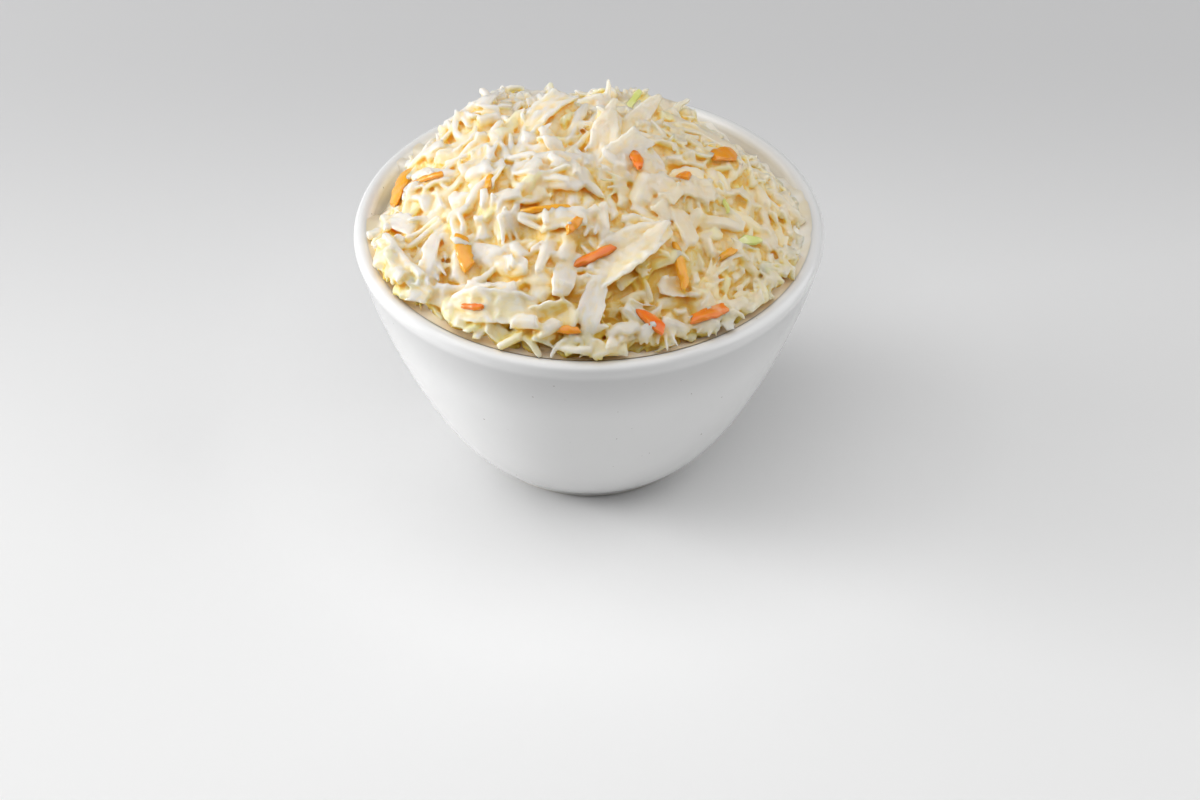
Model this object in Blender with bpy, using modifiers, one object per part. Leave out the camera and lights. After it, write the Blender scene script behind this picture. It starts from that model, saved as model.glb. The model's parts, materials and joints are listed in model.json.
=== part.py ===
"""Coleslaw heaped in a small round porcelain bowl, in metres, +Z up.

The bowl is a turned wall with a rolled lip and a low foot ring. The coleslaw is one solid that
fills the bowl and domes over its rim, with chopped leaves and shreds standing proud of the dome.
The origin is at the middle of the foot, on the surface that the bowl stands on.
"""
import math
import random

import bmesh
import bpy
from mathutils import Matrix, Vector, noise

MM = 0.001

# Bowl
RIM_RADIUS = 51.0 * MM
BOWL_HEIGHT = 57.7 * MM
LIP_RADIUS = 2.0 * MM          # half the thickness of the rolled lip
WALL_TOP_RADIUS = 50.8 * MM    # outer face of the wall where the lip rolls over
WALL_FOOT_RADIUS = 25.1 * MM   # outer face of the wall where it turns in to the foot
FOOT_RADIUS = 24.5 * MM
FOOT_HEIGHT = 2.1 * MM
FOOT_WIDTH = 3.0 * MM
RECESS = 1.2 * MM              # depth of the hollow inside the foot ring
INNER_TOP_RADIUS = RIM_RADIUS - 2.0 * LIP_RADIUS
INNER_FLOOR_RADIUS = 21.5 * MM
FLOOR_HEIGHT = 6.2 * MM
WALL_SWEEP = 1.18              # how late the wall begins to turn in
WALL_ROUND = 1.44              # how full it stays near the foot
STEPS = 56                     # facets round the bowl and the heap
INNER_RINGS = 7
OUTER_RINGS = 9
LIP_RINGS = 6

# Coleslaw
GAP = 0.3 * MM                 # clear of the bowl
EDGE_DROP = 3.2 * MM           # where the heap meets the wall, below the rim
DOME_RISE = 20.0 * MM          # crown of the packed heap above the rim
DOME_SWEEP = 2.3
DOME_ROUND = 0.92
DOME_RINGS = 9
LUMP_HEIGHT = 1.9 * MM
LUMP_PITCH = 8.0 * MM
SHRED_COUNT = 60
SHRED_REACH = 44.0 * MM        # no shred's middle lies further out than this
GOLDEN_ANGLE = math.pi * (3.0 - math.sqrt(5.0))   # turn from one shred to the next, for an even cover
SEED = 12

# The widest chopped leaves: middle x and y, length, width, heading in degrees, tilt in degrees
LEAVES = (
    (8, -32, 21, 9, 42, 6), (-17, -36, 20, 8, -16, 4), (-5, -23, 9, 6, 2, 0), (16, -14, 9, 6, -40, 8),
    (23, -12, 8, 6, 0, -6), (19, -21, 9, 5, -62, 10), (-10, 10, 15, 7, 48, 12), (4, 5, 14, 7, 75, 16),
    (11, 12, 16, 6, 60, 14), (7, -5, 14, 7, 48, 12), (-13, -9, 8, 6, -30, 4), (-9, -14, 12, 7, 60, 10),
    (-18, -16, 9, 4, -8, 0), (-16, -31, 9, 6, -20, 8), (-35, -1, 12, 4, -30, -10), (-31, -25, 10, 5, 62, 10),
    (2, -41, 11, 6, 60, -8), (22, -35, 11, 5, 74, 10), (-39, -21, 17, 2.4, -60, 0), (32, 4, 12, 7, 20, 0),
    (30, -22, 11, 6, 80, 4), (-27, 16, 14, 6, 30, 10), (12, 31, 14, 6, 160, 0), (-14, 33, 13, 6, 20, 0),
)

# Shreds that stand up behind the crown: x, y, length, width, heading, rise in degrees
SPIKES = ((4, 22, 13, 1.8, 96, 52), (9, 25, 13, 1.8, 66, 50), (18, 21, 15, 2.2, 50, 40))


def clear_scene():
    for item in list(bpy.data.objects):
        bpy.data.objects.remove(item, do_unlink=True)


def collection(name):
    group = bpy.data.collections.new(name)
    bpy.context.scene.collection.children.link(group)
    return group


def material(name, colour, roughness):
    made = bpy.data.materials.new(name)
    made.use_nodes = True
    shader = made.node_tree.nodes["Principled BSDF"]
    shader.inputs["Base Color"].default_value = (*colour, 1.0)
    shader.inputs["Roughness"].default_value = roughness
    return made


def wall_radius(drop, top_radius, foot_radius):
    """Radius of a wall face at drop, which runs from 0 under the lip to 1 at the bottom."""
    return foot_radius + (top_radius - foot_radius) * (1.0 - drop ** WALL_SWEEP) ** (1.0 / WALL_ROUND)


def wall_face(top, bottom, top_radius, foot_radius, count):
    """Points of a wall face from its top to its bottom, closer together where it turns in."""
    points = []
    for i in range(count + 1):
        drop = math.sin(0.5 * math.pi * i / count)
        points.append((wall_radius(drop, top_radius, foot_radius), top + (bottom - top) * drop))
    return points


def bowl_profile():
    """Half section: floor, inner wall, rolled lip, outer wall, foot ring and the hollow under it."""
    lip_z = BOWL_HEIGHT - LIP_RADIUS
    inner = wall_face(lip_z, FLOOR_HEIGHT, INNER_TOP_RADIUS, INNER_FLOOR_RADIUS, INNER_RINGS)
    points = [(0.0, FLOOR_HEIGHT)] + inner[::-1]
    for i in range(1, LIP_RINGS + 1):
        angle = math.pi * (1.0 - i / LIP_RINGS)
        points.append((RIM_RADIUS - LIP_RADIUS * (1.0 - math.cos(angle)), lip_z + LIP_RADIUS * math.sin(angle)))
    outer = wall_face(lip_z, FOOT_HEIGHT, WALL_TOP_RADIUS, WALL_FOOT_RADIUS, OUTER_RINGS)
    points += outer[1:]
    points += [
        (FOOT_RADIUS, FOOT_HEIGHT), (FOOT_RADIUS, 0.0), (FOOT_RADIUS - FOOT_WIDTH, 0.0),
        (FOOT_RADIUS - FOOT_WIDTH, RECESS), (0.0, RECESS),
    ]
    return points


def dome_height(radius, edge_radius):
    """Height of the packed heap over its edge, at a distance from the middle."""
    share = max(0.0, 1.0 - (radius / edge_radius) ** DOME_SWEEP)
    return (DOME_RISE + EDGE_DROP) * share ** DOME_ROUND


def heap_profile():
    """Half section: down the dome from its crown, down the wall and across the floor."""
    edge_z = BOWL_HEIGHT - EDGE_DROP
    lip_z = BOWL_HEIGHT - LIP_RADIUS
    wall = wall_face(lip_z, FLOOR_HEIGHT, INNER_TOP_RADIUS, INNER_FLOOR_RADIUS, INNER_RINGS)
    edge_radius = wall_radius((lip_z - edge_z) / (lip_z - FLOOR_HEIGHT), INNER_TOP_RADIUS, INNER_FLOOR_RADIUS) - GAP
    points = []
    for i in range(DOME_RINGS):
        radius = edge_radius * i / DOME_RINGS
        points.append((radius, edge_z + dome_height(radius, edge_radius)))
    points.append((edge_radius, edge_z))
    points += [(radius - GAP, z + GAP) for radius, z in wall[1:]]
    points.append((0.0, FLOOR_HEIGHT + GAP))
    return points, edge_radius


def turned(name, profile, group):
    """A solid turned about Z from a half section."""
    mesh = bpy.data.meshes.new(name)
    count = len(profile)
    mesh.from_pydata([(radius, 0.0, z) for radius, z in profile], [(i, i + 1) for i in range(count - 1)], [])
    made = bpy.data.objects.new(name, mesh)
    group.objects.link(made)
    screw = made.modifiers.new("Turn", "SCREW")
    screw.steps = STEPS
    screw.render_steps = STEPS
    screw.use_merge_vertices = True
    screw.merge_threshold = 0.01 * MM
    return made


def evaluated_mesh(made):
    graph = bpy.context.evaluated_depsgraph_get()
    return bpy.data.meshes.new_from_object(made.evaluated_get(graph))


def heap_top(x, y, edge_radius):
    """Height of the packed heap's lumpy surface."""
    radius = math.hypot(x, y)
    lump = noise.noise(Vector((x, y, 0.0)) / LUMP_PITCH)
    fade = min(1.0, max(0.0, (edge_radius - radius) / (6.0 * MM)))
    return BOWL_HEIGHT - EDGE_DROP + dome_height(radius, edge_radius) + LUMP_HEIGHT * lump * fade


def heap_slope(x, y, edge_radius):
    """Upright direction of the packed heap's surface."""
    step = 1.0 * MM
    dx = heap_top(x + step, y, edge_radius) - heap_top(x - step, y, edge_radius)
    dy = heap_top(x, y + step, edge_radius) - heap_top(x, y - step, edge_radius)
    return Vector((-dx, -dy, 2.0 * step)).normalized()


def on_heap(x, y, heading, tilt, roll, lift, edge_radius):
    """Matrix that lays a shred on the heap: its length along heading, its flat face up."""
    up = heap_slope(x, y, edge_radius)
    along = Vector((math.cos(heading), math.sin(heading), 0.0))
    along = (along - up * along.dot(up)).normalized()
    across = up.cross(along)
    turn = Matrix((along, across, up)).transposed().to_4x4()
    place = Matrix.Translation(Vector((x, y, heap_top(x, y, edge_radius))) + up * lift)
    return place @ turn @ Matrix.Rotation(-tilt, 4, "Y") @ Matrix.Rotation(roll, 4, "X")


def add_shred(cage, length, width, thickness, bend, taper, cuts, matrix):
    """A chopped shred: a flat bar, narrower at its far end and bent over its length."""
    piece = bmesh.new()
    bmesh.ops.create_cube(piece, size=1.0)
    long_edges = [edge for edge in piece.edges if abs(edge.verts[0].co.x - edge.verts[1].co.x) > 0.5]
    bmesh.ops.subdivide_edges(piece, edges=long_edges, cuts=cuts)
    for vert in piece.verts:
        share = 2.0 * vert.co.x
        vert.co.y *= width * (1.0 - taper * share) * (1.0 - 0.3 * share * share)
        vert.co.z = vert.co.z * thickness - bend * share * share
        vert.co.x *= length
    piece.transform(matrix)
    mesh = bpy.data.meshes.new("shred")
    piece.to_mesh(mesh)
    piece.free()
    cage.from_mesh(mesh)
    bpy.data.meshes.remove(mesh)


def shred_mesh(edge_radius):
    """Every leaf, shred and spike that stands proud of the packed heap, in one mesh."""
    dice = random.Random(SEED)
    cage = bmesh.new()
    for x, y, length, width, heading, tilt in LEAVES:
        matrix = on_heap(x * MM, y * MM, math.radians(heading), math.radians(tilt), 0.0, 1.6 * MM, edge_radius)
        add_shred(cage, length * MM, width * MM, 2.2 * MM, 1.2 * MM, 0.12, 2, matrix)
    for x, y, length, width, heading, rise in SPIKES:
        matrix = on_heap(x * MM, y * MM, math.radians(heading), math.radians(rise), 0.0, 2.0 * MM, edge_radius)
        add_shred(cage, length * MM, width * MM, 1.6 * MM, 0.5 * MM, 0.2, 1, matrix)
    for i in range(SHRED_COUNT):
        radius = SHRED_REACH * math.sqrt((i + 0.5) / SHRED_COUNT)
        angle = i * GOLDEN_ANGLE + dice.uniform(-0.12, 0.12)
        heading = dice.uniform(0.0, math.pi)
        outward = radius / SHRED_REACH
        length = dice.uniform(7.0, 14.0) * MM * (1.0 - 0.3 * outward)
        matrix = on_heap(
            radius * math.cos(angle), radius * math.sin(angle), heading, math.radians(dice.uniform(-20.0, 20.0)),
            math.radians(dice.uniform(-28.0, 28.0)), dice.uniform(0.4, 1.5) * MM, edge_radius,
        )
        width = dice.uniform(2.4, 5.0) * MM
        add_shred(cage, length, width, dice.uniform(1.8, 2.6) * MM, dice.uniform(0.3, 1.6) * MM, 0.15, 1, matrix)
    keep_inside_lip(cage)
    mesh = bpy.data.meshes.new("shreds")
    cage.to_mesh(mesh)
    cage.free()
    return mesh


def keep_inside_lip(cage):
    """Draws any corner that would cross the bowl's wall back inside it."""
    for vert in cage.verts:
        lip_z = BOWL_HEIGHT - LIP_RADIUS
        drop = min(1.0, max(0.0, (lip_z - vert.co.z) / (lip_z - FLOOR_HEIGHT)))
        limit = wall_radius(drop, INNER_TOP_RADIUS, INNER_FLOOR_RADIUS) - 2.0 * GAP
        radius = math.hypot(vert.co.x, vert.co.y)
        if radius > limit:
            vert.co.x *= limit / radius
            vert.co.y *= limit / radius


def largest_shell(mesh):
    """Keeps the outer shell of a union and drops any sealed pocket left inside it."""
    cage = bmesh.new()
    cage.from_mesh(mesh)
    shells = []
    left = set(cage.faces)
    while left:
        front = [left.pop()]
        shell = []
        while front:
            face = front.pop()
            shell.append(face)
            for edge in face.edges:
                for other in edge.link_faces:
                    if other in left:
                        left.remove(other)
                        front.append(other)
        shells.append(shell)
    shells.sort(key=len)
    spare = [face for shell in shells[:-1] for face in shell]
    bmesh.ops.delete(cage, geom=spare, context="FACES")
    bmesh.ops.delete(cage, geom=[vert for vert in cage.verts if not vert.link_faces], context="VERTS")
    bmesh.ops.triangulate(cage, faces=cage.faces)
    cage.to_mesh(mesh)
    cage.free()


def build_bowl(parts):
    bowl = turned("bowl", bowl_profile(), parts)
    bowl.data.materials.append(material("porcelain", (0.86, 0.86, 0.85), 0.18))
    bowl.data.shade_smooth()
    return bowl


def build_coleslaw(parts, cutters):
    profile, edge_radius = heap_profile()
    packed = turned("packed_heap", profile, cutters)
    mesh = evaluated_mesh(packed)
    floor_of_dome = BOWL_HEIGHT - EDGE_DROP + 0.1 * MM
    for vert in mesh.vertices:
        if vert.co.z > floor_of_dome:
            vert.co.z = heap_top(vert.co.x, vert.co.y, edge_radius)
    bpy.data.objects.remove(packed, do_unlink=True)
    coleslaw = bpy.data.objects.new("coleslaw", mesh)
    parts.objects.link(coleslaw)
    shreds = bpy.data.objects.new("shreds", shred_mesh(edge_radius))
    cutters.objects.link(shreds)
    shreds.hide_render = True
    shreds.display_type = "WIRE"
    union = coleslaw.modifiers.new("Shreds", "BOOLEAN")
    union.operation = "UNION"
    union.object = shreds
    union.use_self = True
    joined = evaluated_mesh(coleslaw)
    coleslaw.modifiers.remove(union)
    largest_shell(joined)
    coleslaw.data = joined
    joined.materials.clear()
    joined.materials.append(material("coleslaw", (0.80, 0.68, 0.42), 0.4))
    return coleslaw


def main():
    clear_scene()
    parts = collection("coleslaw_bowl")
    cutters = collection("cutters")
    build_bowl(parts)
    build_coleslaw(parts, cutters)


main()
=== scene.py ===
"""Coleslaw heaped in a small round porcelain bowl: every surface as it is seen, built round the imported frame.

The cabbage is laid shred by shred. A height map of the heap is kept, each shred comes to rest on what
already lies there, and the map is raised by it. Geometry Nodes then put a shape on every resting place.
Lengths are metres unless a name says otherwise. +Z is up and -Y faces the viewer.
"""

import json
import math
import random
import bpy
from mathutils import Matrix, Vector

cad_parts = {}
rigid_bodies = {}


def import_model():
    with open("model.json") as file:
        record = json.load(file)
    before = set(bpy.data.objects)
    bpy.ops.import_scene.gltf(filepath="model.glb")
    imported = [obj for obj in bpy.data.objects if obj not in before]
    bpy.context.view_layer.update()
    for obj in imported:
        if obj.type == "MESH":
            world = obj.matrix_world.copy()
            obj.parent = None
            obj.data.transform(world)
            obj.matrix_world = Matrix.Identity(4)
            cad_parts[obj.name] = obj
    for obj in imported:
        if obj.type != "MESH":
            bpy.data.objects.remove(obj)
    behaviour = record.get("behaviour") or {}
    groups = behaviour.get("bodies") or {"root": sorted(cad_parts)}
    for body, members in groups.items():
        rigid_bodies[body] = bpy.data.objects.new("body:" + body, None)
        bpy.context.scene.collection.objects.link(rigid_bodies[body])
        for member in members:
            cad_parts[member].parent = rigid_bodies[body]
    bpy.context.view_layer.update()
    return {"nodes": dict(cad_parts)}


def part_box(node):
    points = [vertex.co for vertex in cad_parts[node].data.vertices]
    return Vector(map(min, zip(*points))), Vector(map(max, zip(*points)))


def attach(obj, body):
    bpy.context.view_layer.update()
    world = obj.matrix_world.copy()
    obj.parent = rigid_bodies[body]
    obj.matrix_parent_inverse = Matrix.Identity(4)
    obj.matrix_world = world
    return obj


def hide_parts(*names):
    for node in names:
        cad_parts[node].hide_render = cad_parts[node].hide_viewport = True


bl_info = {
    "name": "Coleslaw bowl",
    "version": (1, 0, 0),
    "blender": (4, 5, 0),
    "location": "3D View > Sidebar > Coleslaw",
    "description": "Builds a bowl of coleslaw: turned porcelain, chopped cabbage and grated carrot",
    "category": "Object",
}

import bmesh
import bpy
import numpy as np
from bpy.props import FloatProperty, FloatVectorProperty, IntProperty, PointerProperty
from mathutils import Matrix, Vector, noise
from mathutils.bvhtree import BVHTree
from mathutils.kdtree import KDTree

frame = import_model()
BOWL_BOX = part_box("bowl")
HEAP_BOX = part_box("coleslaw")
MM = 0.001

# The bowl's section, as it was turned. WALL_SWEEP and WALL_ROUND shape the curve of wall_radius
RIM_RADIUS = BOWL_BOX[1].x
RIM_HEIGHT = BOWL_BOX[1].z
LIP_RADIUS = 2.0 * MM
LIP_HEIGHT = RIM_HEIGHT - LIP_RADIUS
WALL_TOP_RADIUS = RIM_RADIUS - 0.2 * MM
WALL_FOOT_RADIUS = 25.1 * MM
FOOT_RADIUS = 24.5 * MM
FOOT_HEIGHT = 2.1 * MM
FOOT_WIDTH = 3.0 * MM
RECESS = 1.2 * MM
INNER_TOP_RADIUS = RIM_RADIUS - 2.0 * LIP_RADIUS
INNER_FLOOR_RADIUS = 21.5 * MM
FLOOR_HEIGHT = 6.2 * MM
WALL_SWEEP = 1.18
WALL_ROUND = 1.44

# The heap: the gap that the core and the shreds leave to the wall, how far the skins reach into the wall, and
# where the loose shreds end sideways and upwards
WALL_GAP = 0.5 * MM
WALL_BITE = 0.4 * MM
HEAP_RADIUS = 46.0 * MM
CEILING = HEAP_BOX[1].z + 2.2 * MM

# Lumps of the loose heap: how high, how wide, a seed. They fade out over LUMP_FADE inside LUMP_RADIUS
LUMPS = ((1.5 * MM, 5.5 * MM, 0.0), (1.2 * MM, 9.0 * MM, 5.0))
LUMP_RADIUS = 44.0 * MM
LUMP_FADE = 6.0 * MM

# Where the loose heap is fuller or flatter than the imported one: x, y, spread, rise in millimetres
SHOULDERS = ((-24, 27, 8, 4.0), (-6, 32, 9, -1.0), (4, 21, 12, -2.2), (33, 25, 10, -4.5))

# The heap stands off the wall round one side: that side's direction, how deep it falls away, from what radius
# and over what distance, and the cosine of the angle to either side where it has stopped, with its fade
STAND_OFF_SIDE = math.radians(151.0)
STAND_OFF_DEPTH = 5.5 * MM
STAND_OFF_RADIUS = 41.0 * MM
STAND_OFF_RUN = 4.0 * MM
STAND_OFF_COSINE = 0.9
STAND_OFF_FADE = 0.05

# The height map: its cells, the places along a side, and how far each cell is from the middle
MAP_STEP = 0.5 * MM
MAP_HALF = 50.0 * MM
MAP_COUNT = int(2 * MAP_HALF / MAP_STEP) + 1
MAP_LINE = -MAP_HALF + MAP_STEP * np.arange(MAP_COUNT)
MAP_REACH = np.hypot(MAP_LINE[:, None], MAP_LINE[None, :])


def colour_setting(name, description, *default):
    """A colour that can be changed in the sidebar."""
    return FloatVectorProperty(name=name, description=description, default=default, subtype="COLOR")


class BowlSettings(bpy.types.PropertyGroup):
    """Sizes and finish of the porcelain bowl."""
    facets: IntProperty(name="Facets", description="Sides round the bowl", default=192, min=24)
    waver: FloatProperty(
        name="Waver", description="Unevenness of the turned wall", default=0.06 * MM, subtype="DISTANCE"
    )
    glaze: colour_setting("Glaze", "Colour of the glazed porcelain", 0.86, 0.862, 0.86)


class SlawSettings(bpy.types.PropertyGroup):
    """Amounts and colours of what is heaped in the bowl."""
    depth: FloatProperty(
        name="Loose depth", description="Depth of loose shreds over the packed core", default=6.5 * MM,
        subtype="DISTANCE",
    )
    shreds: IntProperty(name="Shreds", description="Most shreds tried in each layer", default=1500, min=0)
    # Painted light and shade: white, cream, straw and gold are lit and shaded copies of the same cabbage, from
    # open tops down to deep gaps
    white: colour_setting("White", "Dressed cabbage that lies open", 0.795, 0.755, 0.69)
    # Painted shade: the side of the heap turned from the lights is painted in this yellower, darker colour
    far_side_shade: colour_setting("Wet", "Open cabbage where it is soaked", 0.83, 0.715, 0.525)
    half_shade_cream: colour_setting("Cream", "Dressed cabbage that is partly covered", 0.89, 0.748, 0.48)
    shade_straw: colour_setting("Straw", "Cabbage between the upper shreds", 0.96, 0.715, 0.27)
    deep_shade_gold: colour_setting("Gold", "Cabbage deep in the heap", 0.95, 0.60, 0.09)
    carrot: colour_setting("Carrot", "Grated carrot", 0.95, 0.15, 0.008)
    green: colour_setting("Green", "Outer leaf of the cabbage", 0.66, 0.72, 0.20)
    dressing: colour_setting("Dressing", "Dressing along the wall", 0.88, 0.84, 0.76)


class StageSettings(bpy.types.PropertyGroup):
    """Camera and floor."""
    lens: FloatProperty(name="Lens", description="Focal length in millimetres", default=100.0)
    pitch: FloatProperty(
        name="Pitch", description="How far the camera looks down", default=math.radians(39.41),
        subtype="ANGLE",
    )
    # Painted light: the floor is lighter in front and darker behind, as light that falls off towards the back
    floor_lit_front: colour_setting("Floor in front", "Colour of the floor in front", 0.88, 0.88, 0.88)
    floor_shaded_back: colour_setting("Floor behind", "Colour of the floor behind", 0.60, 0.60, 0.605)


# ---------------------------------------------------------------- shared helpers


def link(name, data):
    """A new object in the scene with this mesh, camera or light, at the origin."""
    made = bpy.data.objects.new(name, data)
    bpy.context.scene.collection.objects.link(made)
    return made


def plain_mesh(made):
    """Replaces an object's mesh with its evaluated result and drops its modifiers."""
    graph = bpy.context.evaluated_depsgraph_get()
    result = bpy.data.meshes.new_from_object(made.evaluated_get(graph))
    made.modifiers.clear()
    made.data = result
    return made


def dress(made, material, slot, *nodes):
    """Gives a piece its material and its body, and hides the solids that it stands for. slot is not used."""
    made.data.materials.clear()
    made.data.materials.append(material)
    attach(made, "root")
    if nodes:
        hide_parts(*nodes)
    return made


def read_all(items, key, width=1, kind=np.float32):
    """One value or vector of every element of a mesh, as an array."""
    values = np.empty(len(items) * width, dtype=kind)
    items.foreach_get(key, values)
    return values if width == 1 else values.reshape(-1, width)


def store(mesh, name, values, kind="FLOAT"):
    """Keeps a value or a vector with each point of a mesh."""
    made = mesh.attributes.get(name) or mesh.attributes.new(name, kind, "POINT")
    made.data.foreach_set("vector" if kind == "FLOAT_VECTOR" else "value", np.ravel(values))


def ramp(value, span):
    """0 to 1 while value runs from 0 to span."""
    return min(1.0, max(0.0, value / span))


def wall_radius(drop, top_radius, foot_radius):
    """Radius of a wall face at drop, which runs from 0 under the lip to 1 at the bottom."""
    return foot_radius + (top_radius - foot_radius) * (1.0 - drop ** WALL_SWEEP) ** (1.0 / WALL_ROUND)


def wall_face(bottom, top_radius, foot_radius, count):
    """Points of a wall face from the lip down, closer together where it turns in."""
    points = []
    for i in range(count + 1):
        drop = math.sin(0.5 * math.pi * i / count)
        points.append((wall_radius(drop, top_radius, foot_radius), LIP_HEIGHT + (bottom - LIP_HEIGHT) * drop))
    return points


def inner_face(z):
    """Radius of the bowl's inner face at height z, with the lip's inner half above it."""
    drop = np.clip((LIP_HEIGHT - z) / (LIP_HEIGHT - FLOOR_HEIGHT), 0.0, 1.0)
    rise = np.clip(z - LIP_HEIGHT, 0.0, LIP_RADIUS)
    over_lip = LIP_RADIUS - np.sqrt(LIP_RADIUS ** 2 - rise ** 2)
    return wall_radius(drop, INNER_TOP_RADIUS, INNER_FLOOR_RADIUS) + over_lip


def inner_limit(z):
    """How far from the middle a shred may reach at height z: short of the wall, or out over the lip."""
    return inner_face(z) + np.clip(2.0 * (z - RIM_HEIGHT), 0.0, 1.6 * MM) - WALL_GAP


# ---------------------------------------------------------------- materials


class Nodes:
    """A node tree and short ways to add nodes to it."""

    def add(self, kind, inputs=None, **settings):
        """Adds a node. Its inputs are given by place, or by name among those in use."""
        made = self.tree.nodes.new(kind)
        for key, value in settings.items():
            setattr(made, key, value)
        for key, value in (inputs or {}).items():
            self.feed(made.inputs[key] if isinstance(key, int) else self.find(made.inputs, key), value)
        return made

    def find(self, sockets, name):
        """The socket with this name that is in use."""
        return next(socket for socket in sockets if socket.name == name and socket.enabled)

    def feed(self, socket, value):
        """Links a socket to another or sets its value."""
        if isinstance(value, bpy.types.NodeSocket):
            self.tree.links.new(value, socket)
        else:
            socket.default_value = value


class Shader(Nodes):
    """A Principled material."""

    def __init__(self, name, **values):
        self.material = bpy.data.materials.new(name)
        self.material.use_nodes = True
        self.tree = self.material.node_tree
        self.surface = self.tree.nodes["Principled BSDF"]
        for key, value in values.items():
            self.surface.inputs[key.replace("_", " ")].default_value = value

    def position(self):
        return self.add("ShaderNodeTexCoord").outputs["Object"]

    def attribute(self, name):
        return self.add("ShaderNodeAttribute", attribute_name=name).outputs["Fac"]

    def across_fibre(self, share):
        """Places squeezed to a share of their run along the fibre, so that noise is drawn out along it."""
        fibre = self.add("ShaderNodeAttribute", attribute_name="fibre").outputs["Vector"]
        place = self.position()
        run = self.add("ShaderNodeVectorMath", {0: place, 1: fibre}, operation="DOT_PRODUCT").outputs["Value"]
        part = self.add("ShaderNodeVectorMath", {0: fibre, "Scale": self.math("MULTIPLY", run, 1.0 - share)},
                        operation="SCALE").outputs[0]
        return self.add("ShaderNodeVectorMath", {0: place, 1: part}, operation="SUBTRACT").outputs[0]

    def noise(self, scale, detail=3.0, roughness=0.5, vector=None):
        place = vector or self.position()
        inputs = {"Vector": place, "Scale": scale, "Detail": detail, "Roughness": roughness}
        return self.add("ShaderNodeTexNoise", inputs).outputs["Fac"]

    def math(self, operation, first, second=0.0):
        return self.add("ShaderNodeMath", {0: first, 1: second}, operation=operation).outputs[0]

    def span(self, value, low, high, to_low=0.0, to_high=1.0):
        """Maps value from low..high to to_low..to_high, smoothly and clamped."""
        inputs = {"Value": value, "From Min": low, "From Max": high, "To Min": to_low, "To Max": to_high}
        return self.add("ShaderNodeMapRange", inputs, interpolation_type="SMOOTHSTEP").outputs["Result"]

    def mix(self, share, first, second):
        made = self.add("ShaderNodeMix", data_type="RGBA")
        for socket, value in zip((made.inputs[0], made.inputs[6], made.inputs[7]), (share, first, second)):
            self.feed(socket, value if isinstance(value, (float, bpy.types.NodeSocket)) else (*value, 1.0))
        return made.outputs[2]

    def bump(self, height, strength, distance, normal=None):
        inputs = {"Height": height, "Strength": strength, "Distance": distance}
        if normal is not None:
            inputs["Normal"] = normal
        return self.add("ShaderNodeBump", inputs).outputs["Normal"]

    def finish(self, **sockets):
        for key, value in sockets.items():
            self.feed(self.surface.inputs[key.replace("_", " ")], value)
        return self.material


def porcelain(colour):
    """White glazed porcelain: clear gloss, a few iron specks, a matt unglazed foot, and painted shade in a grey
    band below the lip.
    """
    iron, under_lip_shade_grey, bare_clay = (0.30, 0.27, 0.24), (0.30, 0.30, 0.305), (0.78, 0.75, 0.70)
    shader = Shader("porcelain", Roughness=0.2, Coat_Weight=0.35, Coat_Roughness=0.08)
    position = shader.position()
    speck = shader.span(shader.noise(900.0, 1.0), 0.79, 0.82)
    cloud = shader.noise(40.0, 2.0)
    clay = tuple(0.94 * part for part in colour)
    ground = shader.mix(cloud, clay, colour)
    body = shader.mix(speck, ground, iron)
    height = shader.add("ShaderNodeSeparateXYZ", {0: position}).outputs["Z"]
    bare = shader.span(height, 0.9 * MM, 0.3 * MM)
    # Painted shade: a grey band on the walls below the lip, where the lip's overhang would shade them
    thin = shader.span(height, LIP_HEIGHT - 17.0 * MM, LIP_HEIGHT - 1.0 * MM, 0.0, 0.30)
    thin = shader.math("MULTIPLY", thin, shader.span(height, LIP_HEIGHT - 0.2 * MM, LIP_HEIGHT - 2.0 * MM))
    body = shader.mix(thin, body, under_lip_shade_grey)
    finish = shader.mix(bare, body, bare_clay)
    rough = shader.span(height, 0.9 * MM, 0.3 * MM, 0.2, 0.7)
    peel = shader.bump(shader.noise(260.0, 2.0), 0.05, 0.2 * MM)
    return shader.finish(Base_Color=finish, Roughness=rough, Normal=peel)


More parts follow.
